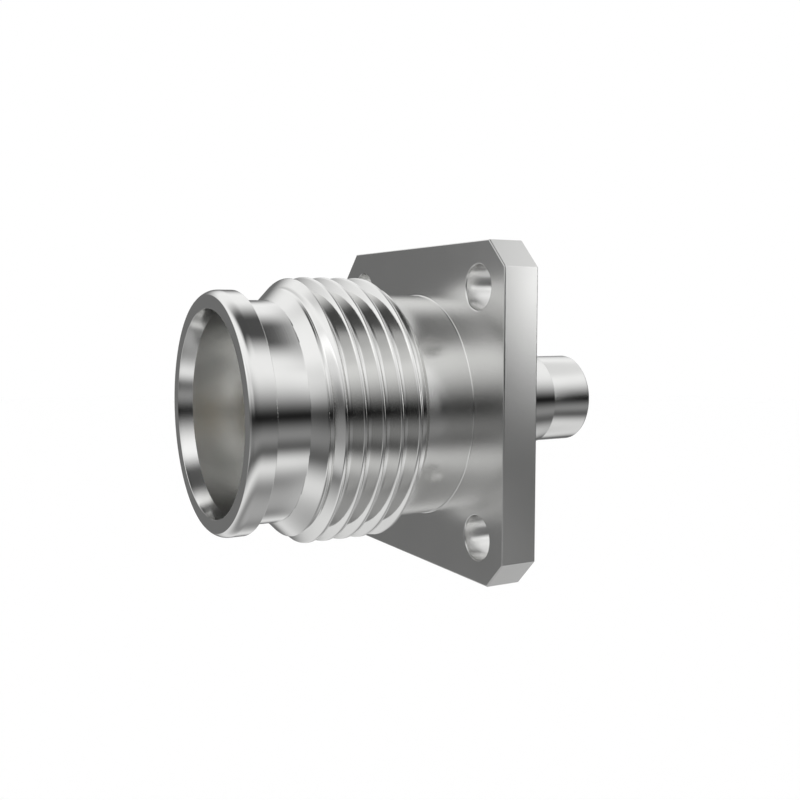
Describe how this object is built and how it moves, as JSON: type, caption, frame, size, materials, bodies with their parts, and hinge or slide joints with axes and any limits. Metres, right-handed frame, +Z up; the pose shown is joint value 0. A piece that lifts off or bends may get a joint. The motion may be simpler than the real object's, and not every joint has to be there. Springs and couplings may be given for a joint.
{
  "type": "panel-mount coaxial jack",
  "caption": "Panel-mount coaxial jack with a square screw flange, an externally threaded collar with a snap groove, and a solder ferrule for semi-rigid cable behind it.",
  "frame": {"origin": "on the axis of the jack, in the rear face of the flange, which seats on the panel, and at the centre of the four screw holes", "axes": "-Y points out of the mouth along the axis, +Y points the way the cable leaves, and +Z is up, square to the top edge of the flange"},
  "size_m": [0.0176, 0.0226, 0.0176],
  "materials": {
    "plated_housing": "turned and milled brass with a bright silvery white-bronze plating, polished on the collar and satin on the flange",
    "plated_sleeve": "turned brass with a silvery white-bronze plating",
    "gilt_contact": "gold-plated spring copper alloy",
    "white_insulator": "turned white fluoropolymer",
    "plated_ferrule": "turned brass with a bright silvery white-bronze plating"
  },
  "bodies": {
    "root": {"housing": "plated_housing", "outer_contact_sleeve": "plated_sleeve", "centre_contact": "gilt_contact", "front_insulator": "white_insulator", "rear_insulator": "white_insulator", "cable_ferrule": "plated_ferrule"}
  },
  "joints": []
}
